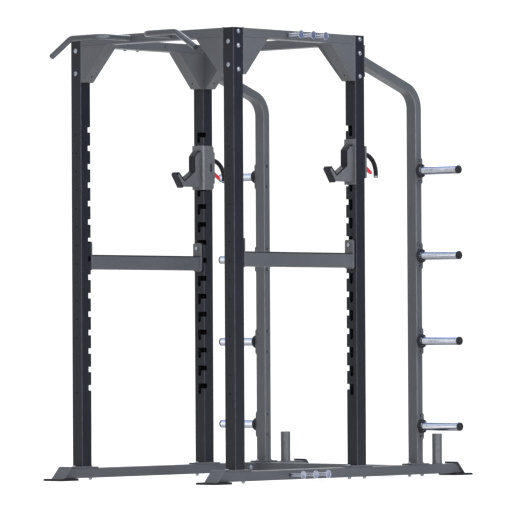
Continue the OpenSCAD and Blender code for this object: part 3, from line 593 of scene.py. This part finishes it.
def discard(*parts):
    for part in parts:
        bpy.data.objects.remove(part)


# ---------------------------------------------------------------- frame, eased and painted

for s in SIDES:
    for end in ("front", "rear"):
        eased(f"upright_{end}_{s}", f"{end}_post_{s}", 0.7 * MM, CHARCOAL)
    eased(f"base_rail_{s}", f"ground_rail_{s}", 0.8 * MM, PEWTER)
    eased(f"side_beam_{s}", f"top_side_{s}", 0.9 * MM, PEWTER)
    eased(f"storage_post_{s}", f"bent_post_{s}", 0.5 * MM, PEWTER)
    repaint(f"pullup_handle_{s}", GRIP_PAINT)

# the width of each eased edge is in mm
for node, name, width, paint in (
        ("front_beam", "top_front", 0.9, PEWTER), ("rear_beam", "top_rear", 0.9, PEWTER),
        ("base_crossmember", "ground_cross", 0.9, PEWTER), ("rail_end_caps", "rail_noses", 1.6, PEWTER),
        ("foot_plates", "floor_pads", 1.6, FOOT_PAINT), ("base_plates", "post_bases", 1.2, PEWTER),
        ("side_gussets", "side_knees", 1.2, BRACKET), ("cross_gussets", "cross_knees", 1.2, BRACKET),
        ("storage_plates", "arm_plates", 1.1, PEWTER), ("peg_plates", "peg_backs", 1.1, BRACKET),
        ("upright_caps", "post_plugs", 2.0, BLACK_PLASTIC)):
    eased(node, name, width * MM, paint)

repaint("weight_pegs", CHROME)
repaint("bar_holders", PEWTER)

# ---------------------------------------------------------------- bolts, washers and nuts


def bolt_head(name, radius, height, socket):
    washer = radius * 1.22
    skirt = 2.2 * MM
    dome = [(radius * math.cos(a), skirt + (height - skirt) * (0.25 + 0.75 * math.sin(a)), ROUND)
            for a in (0.0, 0.3, 0.6, 0.9, 1.15)]
    return lathe(name, [(0, 0, ROUND), (washer - 0.5 * MM, 0, ROUND), (washer, 0.4 * MM, ROUND),
                        (washer, skirt - 0.4 * MM, ROUND), (washer - 0.5 * MM, skirt, ROUND),
                        (radius * 0.97, skirt, ROUND), *dome, (socket * 1.08, height, ROUND),
                        (socket, height - 0.3 * MM, HEX), (socket, height * 0.42, HEX),
                        (0, height * 0.36, ROUND)], 36)


def nut_end(name, radius, height, shank):
    washer = radius * 1.18
    skirt = 1.8 * MM
    turns = [(shank - (0.5 * MM if i % 2 else 0), height + i * 0.7 * MM, ROUND) for i in range(5)]
    return lathe(name, [(0, 0, ROUND), (washer, 0, ROUND), (washer, skirt, ROUND),
                        (radius * 0.90, skirt, ROUND),
                        (radius, skirt + 0.9 * MM, HEX), (radius, height - 1.0 * MM, HEX),
                        (radius * 0.86, height, ROUND), *turns,
                        (shank * 0.8, height + 3.6 * MM, ROUND), (0, height + 3.6 * MM, ROUND)], 36)


SHORT_BOLT = 40 * MM  # a bolt shorter than this along X has its head on the inside


def bolt_spots(node, head, nut_back):
    """Where each bolt's head and nut sit, as (place, aim), from the CAD bolts' boxes."""
    heads, nuts = [], []
    for low, high in islands(node):
        size = high - low
        k = max(range(3), key=lambda i: size[i])
        middle = (low + high) / 2
        aim = Vector((0, 0, 0))
        if k == 2:
            aim.z = 1
        elif k == 1:
            aim.y = math.copysign(1, middle.y - CAGE_Y)
        else:
            aim.x = math.copysign(1, middle.x)
            if size.x < SHORT_BOLT:
                aim.x = -aim.x
        end = middle + aim * size[k] / 2
        heads.append((end - aim * head, aim))
        nuts.append((end - aim * (size[k] - nut_back), -aim))
    return heads, nuts


big_head = bolt_head("big_head", 10.5 * MM, 8.2 * MM, 4.6 * MM)
big_nut = nut_end("big_nut", 10.4 * MM, 8.6 * MM, 6 * MM)
for node, name in (("frame_bolts", "frame_fixings"), ("base_bolts", "ground_fixings")):
    heads, nuts = bolt_spots(node, 7 * MM, 10 * MM)
    fixed(name, big_head, heads, "frame", "zinc", ZINC, node)
    fixed(name + "_nuts", big_nut, nuts, "frame", "zinc", ZINC)
discard(big_head, big_nut)

washer_r, washer_t, hex_r, hex_top = 9.2 * MM, 1.3 * MM, 7.5 * MM, 6.4 * MM
small_head = lathe("small_head", [(0, 0, ROUND), (washer_r, 0, ROUND), (washer_r, washer_t, ROUND),
                                  (hex_r - 0.7 * MM, washer_t, ROUND), (hex_r, washer_t + 0.7 * MM, HEX),
                                  (hex_r, hex_top - 0.8 * MM, HEX),
                                  (hex_r - 1.1 * MM, hex_top - 0.2 * MM, ROUND), (0, hex_top, ROUND)], 36)
small_nut = nut_end("small_nut", hex_r, 6.5 * MM, 4 * MM)
heads, nuts = bolt_spots("peg_bolts", 5 * MM, 8 * MM)
fixed("peg_fixings", small_head, heads, "frame", "bolt_steel", DARK_ZINC, "peg_bolts")
fixed("peg_fixings_nuts", small_nut, nuts, "frame", "bolt_steel", DARK_ZINC)
# short bolts on the inner faces of the side beams
bolt_z, bolt_dy = TOP - 24 * MM, 152 * MM
beam_spots = [(Vector((side * (POST_X - HALF), CAGE_Y + dy, bolt_z)), Vector((-side, 0, 0)))
              for side in SIDES.values() for dy in (-bolt_dy, bolt_dy)]
fixed("beam_fixings", small_head, beam_spots, "frame", "bolt_steel", DARK_ZINC)
discard(small_head, small_nut)

# ---------------------------------------------------------------- band pegs

band_lo, band_hi = islands("band_pegs")[-1]
face = band_hi.x - band_lo.x
disc_r = (band_hi.z - band_lo.z) / 2
rod_r, disc_t, round_off = 8.5 * MM, 5 * MM, 1.2 * MM
stem = face - disc_t
band_peg = lathe("band_peg", [(0, 0, ROUND), (rod_r, 0, ROUND), (rod_r, stem - 2 * MM, ROUND),
                              (rod_r + 2 * MM, stem, ROUND), (disc_r - round_off, stem, ROUND),
                              (disc_r, stem + round_off, ROUND), (disc_r, face - round_off, ROUND),
                              (disc_r - round_off, face, ROUND), (disc_r - 5.2 * MM, face, ROUND),
                              (disc_r - 6.6 * MM, face - 1.6 * MM, ROUND),
                              (rod_r - 2 * MM, face - 1.9 * MM, ROUND), (0, face - 2.2 * MM, ROUND)], 48)
fixed("band_hooks", band_peg, side_spots("band_pegs", outer=False), "frame", "peg_chrome", BLUE_ZINC,
      "band_pegs", spin=0.0)
discard(band_peg)

# ---------------------------------------------------------------- weight pegs' collars and caps

peg_lo, peg_hi = islands("weight_pegs")[-1]
peg_r = (peg_hi.z - peg_lo.z) / 2
COLLAR_R, COLLAR_DEPTH = 38 * MM, 20 * MM
SHOULDER = 5 * MM
GROOVE_HALF, GROOVE_IN = 1.2 * MM, 1.1 * MM


def shoulder(outer, height, degrees):
    """Points round a collar's rounded corner, whose centre is at the given height."""
    middle = outer - SHOULDER
    return [(middle + SHOULDER * math.cos(math.radians(a)),
             height + SHOULDER * math.sin(math.radians(a)), ROUND) for a in degrees]


def soft_ring(inner, outer, depth):
    """A rubber collar's outline: round shoulders and a shallow groove round its outside."""
    mid = depth / 2
    return [(inner, 0, ROUND), *shoulder(outer, SHOULDER, (-90, -60, -30, 0)),
            (outer, mid - GROOVE_HALF, ROUND), (outer - GROOVE_IN, mid, ROUND),
            (outer, mid + GROOVE_HALF, ROUND),
            *shoulder(outer, depth - SHOULDER, (0, 30, 60, 90)),
            (inner + 2.5 * MM, depth, ROUND), (inner, depth - 1.5 * MM, ROUND)]


collar = lathe("collar", soft_ring(peg_r, COLLAR_R, COLLAR_DEPTH), 64, looped=True)
fixed("peg_stops", collar, side_spots("peg_collars", outer=False), "frame", "collar_rubber", RUBBER,
      "peg_collars", spin=0.0)
cap_r, neck_r, neck_depth, lip = peg_r - 1.0 * MM, peg_r - 4.7 * MM, 20 * MM, 0.4 * MM
cap = lathe("cap", [(0, -neck_depth, ROUND), (neck_r, -neck_depth, ROUND), (neck_r, lip, ROUND),
                    (cap_r, lip, ROUND), (cap_r, 7.5 * MM, ROUND), (cap_r - 0.8 * MM, 8.0 * MM, ROUND),
                    (cap_r - 0.8 * MM, 8.6 * MM, ROUND), (cap_r - 0.2 * MM, 9.0 * MM, ROUND),
                    (cap_r - 1.2 * MM, 11.6 * MM, ROUND), (cap_r - 4.0 * MM, 13.4 * MM, ROUND),
                    (cap_r - 9.0 * MM, 13.9 * MM, ROUND), (cap_r - 10 * MM, 13.2 * MM, ROUND),
                    (0, 13.2 * MM, ROUND)], 64)
fixed("peg_tips", cap, side_spots("weight_pegs", outer=True), "frame", "black_plastic", BLACK_PLASTIC,
      "peg_caps", spin=0.0)
discard(collar, cap)

# ---------------------------------------------------------------- plugs in the pull-up handles

grip_slope = math.radians(32)
plug_bore, plug_in, plug_out = 13.3 * MM, 14 * MM, 6 * MM
plug_spots = []
for low, high in islands("pullup_plugs"):
    side = math.copysign(1, (low + high).x)
    aim = Vector((side * math.cos(grip_slope), 0, -math.sin(grip_slope)))
    tip = Vector((high.x if side > 0 else low.x, (low.y + high.y) / 2, low.z))
    tip.x -= side * GRIP_TUBE_R * math.sin(grip_slope)
    tip.z += GRIP_TUBE_R * math.cos(grip_slope)
    plug_spots.append((tip - aim * plug_out, aim))
plug = lathe("plug", [(0, -plug_in, ROUND), (plug_bore, -plug_in, ROUND), (plug_bore, 0, ROUND),
                      (GRIP_TUBE_R, 0, ROUND), (GRIP_TUBE_R, 2 * MM, ROUND), (14.6 * MM, 4.6 * MM, ROUND),
                      (11 * MM, 5.9 * MM, ROUND), (0, plug_out, ROUND)], 40)
fixed("grip_plugs", plug, plug_spots, "frame", "black_plastic", BLACK_PLASTIC, "pullup_plugs", spin=0.0)
discard(plug)

# ---------------------------------------------------------------- hooks

HANDLE_BEND = 105 * MM
BEND_STEPS = 24


def hook_handle(s, hook):
    """A core bar, moulded ribs over it, a plated tip and a painted root collar."""
    low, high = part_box(f"hook_handle_{s}")
    radius = (high.x - low.x) / 2
    middle = (low.x + high.x) / 2
    top = high.z - radius
    turn_y = high.y - radius - HANDLE_BEND
    path = [Vector((middle, low.y, top)), Vector((middle, turn_y, top))]
    for i in range(1, BEND_STEPS + 1):
        turn = math.radians(90) * i / BEND_STEPS
        path.append(Vector((middle, turn_y + HANDLE_BEND * math.sin(turn),
                            top - HANDLE_BEND + HANDLE_BEND * math.cos(turn))))
    path.append(Vector((middle, turn_y + HANDLE_BEND, low.z)))
    core = grow(polylines("core", [(path, False)]), RODS, Radius=radius - 1.2 * MM, Finish=GRIP_RUBBER)
    settle(core, f"handle_core_{s}", hook, "handle_grip", GRIP_RUBBER, f"hook_handle_{s}")
    rib_foot = radius - 2.2 * MM
    rib = lathe("rib", [(rib_foot, -2.0 * MM, ROUND), (radius - 0.5 * MM, -1.5 * MM, ROUND),
                        (radius, -0.7 * MM, ROUND), (radius, 0.7 * MM, ROUND),
                        (radius - 0.5 * MM, 1.5 * MM, ROUND), (rib_foot, 2.0 * MM, ROUND)], 28, looped=True)
    sleeve = polylines("sleeve", [(path[1:], False)])
    grow(sleeve, RIBS, Part=rib, Step=4.6 * MM, Finish=GRIP_RUBBER)
    settle(sleeve, f"handle_ribs_{s}", hook, "handle_grip", GRIP_RUBBER)
    tip_len = 9 * MM
    tip = lathe("tip", [(0, 0, ROUND), (radius - 2 * MM, 0, ROUND), (radius, 1.6 * MM, ROUND),
                        (radius, tip_len - 1 * MM, ROUND), (radius - 1 * MM, tip_len, ROUND),
                        (0, tip_len, ROUND)])
    fixed(f"handle_tip_{s}", tip, [(path[-1], Vector((0, 0, 1)))], hook, "zinc", ZINC)
    root_r, root_len = radius + 3 * MM, 6 * MM
    root = lathe("root", [(0, 0, ROUND), (root_r, 0, ROUND), (root_r, root_len / 2, ROUND),
                          (radius + 1 * MM, root_len, ROUND), (0, root_len, ROUND)])
    fixed(f"handle_root_{s}", root, [(path[0], Vector((0, 1, 0)))], hook, "bracket_paint", HOOK_PAINT)
    discard(rib, tip, root)


SPRING_WIRE_R = 0.65 * MM
SPRING_TURNS, SPRING_STEPS = 3.6, 90
BRACKET_LEG, LEVER_LEG = 11 * MM, 5 * MM


def return_spring(s, hook):
    """Turns of wire round the trigger's pin, with a leg on the bracket and one on the lever."""
    low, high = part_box(f"trigger_spring_{s}")
    middle = (low + high) / 2
    ring = (high.z - low.z) / 2 - SPRING_WIRE_R
    first, last = low.x + SPRING_WIRE_R, high.x - SPRING_WIRE_R
    coil = []
    for i in range(SPRING_STEPS + 1):
        turn = math.tau * SPRING_TURNS * i / SPRING_STEPS
        coil.append(Vector((first + (last - first) * i / SPRING_STEPS,
                            middle.y + ring * math.cos(turn), middle.z + ring * math.sin(turn))))
    tangent = (coil[-1] - coil[-2]).normalized()
    coil.insert(0, coil[0] + Vector((0, 0, -BRACKET_LEG)))
    coil.append(coil[-1] + tangent * LEVER_LEG)
    spring = grow(polylines("spring", [(coil, False)]), RODS, Radius=SPRING_WIRE_R, Finish=DRAWN_WIRE)
    settle(spring, f"return_spring_{s}", hook, "spring_steel", DRAWN_WIRE, f"trigger_spring_{s}")


for s in SIDES:
    hook = f"hook_{s}"
    eased(f"hook_bracket_{s}", f"hook_saddle_{s}", 1.2 * MM, HOOK_PAINT, hook)
    eased(f"hook_arm_{s}", f"hook_horn_{s}", 1.4 * MM, HOOK_PAINT, hook)
    eased(f"hook_liner_{s}", f"hook_lining_{s}", 3.0 * MM, LINER, hook, 4)
    eased(f"trigger_{s}", f"finger_lever_{s}", 2.0 * MM, TRIGGER_RED, f"trigger_{s}", 4)
    repaint(f"hook_studs_{s}", ZINC)
    repaint(f"latch_pin_{s}", ZINC)
    repaint(f"trigger_pin_{s}", ZINC)
    hook_handle(s, hook)
    return_spring(s, hook)

# ---------------------------------------------------------------- safety bars

screw_r, screw_proud, socket_r = 6.0 * MM, 0.6 * MM, 2.5 * MM
screw = lathe("screw", [(0, -3 * MM, ROUND), (screw_r, 0, ROUND), (screw_r, 0.35 * MM, ROUND),
                        (screw_r - 0.6 * MM, screw_proud, ROUND), (socket_r + 0.1 * MM, screw_proud, ROUND),
                        (socket_r, 0.5 * MM, HEX), (socket_r - 0.1 * MM, -1.6 * MM, HEX),
                        (0, -1.8 * MM, ROUND)], 36)
SCREWS_ALONG = (0.06, 0.28, 0.5, 0.72, 0.94)
for s in SIDES:
    bar = f"safety_{s}"
    eased(f"safety_bar_{s}", f"catch_tube_{s}", 0.6 * MM, PEWTER, bar)
    eased(f"safety_strip_{s}", f"catch_strip_{s}", 0.9 * MM, STRIP, bar)
    eased(f"safety_plates_{s}", f"catch_ends_{s}", 1.5 * MM, HOOK_PAINT, bar)
    eased(f"safety_pads_{s}", f"catch_pads_{s}", 1.2 * MM, LINER, bar)
    repaint(f"safety_studs_{s}", ZINC)
    low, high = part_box(f"safety_strip_{s}")
    middle = (low + high) / 2
    spots = [(Vector((middle.x, low.y + (high.y - low.y) * along, high.z)), Vector((0, 0, 1)))
             for along in SCREWS_ALONG]
    fixed(f"strip_screws_{s}", screw, spots, bar, "zinc", DARK_ZINC)
discard(screw)

# ---------------------------------------------------------------- welds

AXES = {"x": (1, 2), "y": (0, 2), "z": (0, 1)}
RING_POINTS = 24


def across(axis, along, u, v):
    """A point at a place along one axis, with u and v on the other two, in order."""
    point = Vector((along, along, along))
    point[AXES[axis][0]] = u
    point[AXES[axis][1]] = v
    return point


def ring_at(axis, where, a, b, c, d):
    """A rectangle square to an axis: a..b and c..d are its spans along the other two axes, in order."""
    return [across(axis, where, u, v) for u, v in ((a, c), (b, c), (b, d), (a, d))], True


def circle_at(axis, centre, radius):
    points = []
    for i in range(RING_POINTS):
        turn = math.tau * i / RING_POINTS
        points.append(centre + across(axis, 0, radius * math.cos(turn), radius * math.sin(turn)))
    return points, True


def weld(name, seams, body, slot, drop, step, seed):
    bead = grow(polylines("bead", seams), WELDS, Drop=drop, Step=step, Seed=seed, Finish=WELD)
    settle(bead, name, body, slot, WELD)


HEAVY = {"drop": 2.3 * MM, "step": 3.1 * MM, "seed": 11}
LIGHT = {"drop": 2.0 * MM, "step": 2.8 * MM, "seed": 5}

seams = []
for side in SIDES.values():
    x = side * POST_X
    for y in (FRONT_Y, REAR_Y):
        # posts on their bases, and the cross beams' tubes on their end plates
        seams.append(ring_at("z", POST_FOOT, x - HALF, x + HALF, y - HALF, y + HALF))
        seams.append(ring_at("x", side * (POST_X - HALF - END_PLATE), y - HALF, y + HALF,
                             TOP - BEAM_DEPTH, TOP))
    for end in (-1, 1):
        y = CAGE_Y + end * ((REAR_Y - FRONT_Y) / 2 - HALF - END_PLATE)
        seams.append(ring_at("y", y, x - HALF, x + HALF, TOP - BEAM_DEPTH, TOP))
    seams.append(ring_at("z", POST_FOOT, x - STORE_WIDTH / 2, x + STORE_WIDTH / 2,
                         STORE_BACK - STORE_DEPTH, STORE_BACK))
for low, high in islands("bar_holders"):
    middle = (low + high) / 2
    middle.z = low.z
    seams.append(circle_at("z", middle, (high.x - low.x) / 2))
for s, side in SIDES.items():
    low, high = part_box(f"pullup_handle_{s}")
    inner = high.x if side < 0 else low.x
    middle = Vector((side * (abs(inner) + GRIP_TUBE_R), high.y, TOP - BEAM_DEPTH / 2))
    seams.append(circle_at("y", middle, GRIP_TUBE_R))
weld("frame_welds", seams, "frame", "frame_paint", **HEAVY)

for s in SIDES:
    low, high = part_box(f"safety_bar_{s}")
    seams = [ring_at("y", y, low.x, high.x, low.z, high.z) for y in (low.y, high.y)]
    weld(f"catch_welds_{s}", seams, f"safety_{s}", "frame_paint", **LIGHT)
    low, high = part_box(f"hook_arm_{s}")
    seams = [([Vector((x, high.y, z)) for z in (low.z, high.z)], False) for x in (low.x, high.x)]
    weld(f"horn_welds_{s}", seams, f"hook_{s}", "bracket_paint", **LIGHT)

# ---------------------------------------------------------------- floor, light and camera

def grey(level):
    return (level, level, level)


def toward(azimuth, elevation=0.0):
    """The way out from the cage, in radians: azimuth 0 is the front, and it grows towards the right."""
    return Vector((math.sin(azimuth) * math.cos(elevation), -math.cos(azimuth) * math.cos(elevation),
                   math.sin(elevation)))


floor_mesh = bpy.data.meshes.new("studio_floor")
reach = 60.0
floor_mesh.from_pydata([(-reach, -reach, 0), (reach, -reach, 0), (reach, reach, 0), (-reach, reach, 0)],
                       [], [(0, 1, 2, 3)])
floor = show("studio_floor", floor_mesh)
FLOOR_GLOW = 0.72
pale = Finish("pale floor", specular=0.05)
pale.shader.inputs["Emission Color"].default_value = (*WHITE, 1)
pale.shader.inputs["Emission Strength"].default_value = FLOOR_GLOW
floor_tone = pale.ramp(pale.noise(1.2, 3), [(0.3, grey(0.42)), (0.7, grey(0.46))])
floor_mesh.materials.append(pale.done(floor_tone, pale.scaled(pale.noise(6), 0.75, 0.9)))

world = bpy.data.worlds.new("studio")
bpy.context.scene.world = world
world.use_nodes = True
sky = world.node_tree
sky.nodes.clear()


def sky_node(kind, **settings):
    node = sky.nodes.new(kind)
    for key, value in settings.items():
        setattr(node, key, value)
    return node


def sky_ramp(amount, low, high):
    """A colour that runs between two (position, colour) stops."""
    node = sky_node("ShaderNodeValToRGB")
    for element, (position, colour) in zip(node.color_ramp.elements, (low, high)):
        element.position = position
        element.color = (*colour, 1)
    sky.links.new(amount, node.inputs["Fac"])
    return node.outputs["Color"]


def wall(azimuth, start, end, colour):
    """Tints the sky on one side, as a coloured wall does. Start and end are cosines from its middle."""
    facing = sky_node("ShaderNodeVectorMath", operation="DOT_PRODUCT")
    facing.inputs[1].default_value = toward(math.radians(azimuth))
    sky.links.new(direction.outputs["Generated"], facing.inputs[0])
    return sky_ramp(facing.outputs["Value"], (start, WHITE), (end, colour))


def times(a, b):
    node = sky_node("ShaderNodeMix", data_type="RGBA", blend_type="MULTIPLY")
    node.inputs[0].default_value = 1.0
    sky.links.new(a, node.inputs[6])
    sky.links.new(b, node.inputs[7])
    return node.outputs[2]


direction = sky_node("ShaderNodeTexCoord")
parts = sky_node("ShaderNodeSeparateXYZ")
sky.links.new(direction.outputs["Generated"], parts.inputs["Vector"])
dome = sky_ramp(parts.outputs["Z"], (0.10, grey(1.16)), (0.85, (0.98, 1.02, 1.12)))
# a dim cool wall behind on the right, and a bright one in front
cool = wall(azimuth=139, start=0.50, end=0.92, colour=(0.28, 0.34, 0.52))
bright = wall(azimuth=42, start=0.90, end=0.995, colour=grey(3.2))
lit = times(times(dome, cool), bright)
glow = sky_node("ShaderNodeBackground")
sky_out = sky_node("ShaderNodeOutputWorld")
sky.links.new(lit, glow.inputs["Color"])
sky.links.new(glow.outputs["Background"], sky_out.inputs["Surface"])


LIT_HEIGHT = 1.2
SOFTBOX = 5.0


def soft_light(name, azimuth, elevation, distance, power, colour):
    """A square softbox that faces the cage's middle, placed by angles in degrees."""
    light = bpy.data.lights.new(name, "AREA")
    light.size = SOFTBOX
    light.energy = power
    light.color = colour
    out = toward(math.radians(azimuth), math.radians(elevation))
    ob = bpy.data.objects.new(name, light)
    bpy.context.scene.collection.objects.link(ob)
    ob.location = Vector((0, CAGE_Y, LIT_HEIGHT)) + out * distance
    ob.rotation_euler = out.to_track_quat("Z", "Y").to_euler()


soft_light("key_softbox", azimuth=92, elevation=34, distance=9.0, power=480, colour=(1.0, 0.99, 0.97))
soft_light("fill_softbox", azimuth=12, elevation=40, distance=10.0, power=90, colour=(0.94, 0.97, 1.0))
soft_light("back_softbox", azimuth=210, elevation=38, distance=9.0, power=300, colour=(0.97, 0.98, 1.0))

VIEW_AZIMUTH, VIEW_ELEVATION, VIEW_ROLL = (math.radians(v) for v in (42.267, -1.015, -0.294))
VIEW_DISTANCE, AIM_HEIGHT, AIM_RIGHT = 24.925, 1.22938, 0.20693
LENS, SENSOR = 318.07, 36.0
right = Vector((math.cos(VIEW_AZIMUTH), math.sin(VIEW_AZIMUTH), 0))
back = toward(VIEW_AZIMUTH, VIEW_ELEVATION)
aim = Vector((0, CAGE_Y, AIM_HEIGHT)) + right * AIM_RIGHT
lens = bpy.data.cameras.new("studio_camera")
lens.sensor_width = SENSOR
lens.lens = LENS
lens.clip_start, lens.clip_end = 0.5, 200
camera = bpy.data.objects.new("studio_camera", lens)
bpy.context.scene.collection.objects.link(camera)
upward = back.cross(right)
turn = Matrix((right, upward, back)).transposed().to_4x4()
camera.matrix_world = (Matrix.Translation(aim + back * VIEW_DISTANCE) @ turn
                       @ Matrix.Rotation(VIEW_ROLL, 4, "Z"))
bpy.context.scene.camera = camera
bpy.context.scene.view_settings.view_transform = "Standard"
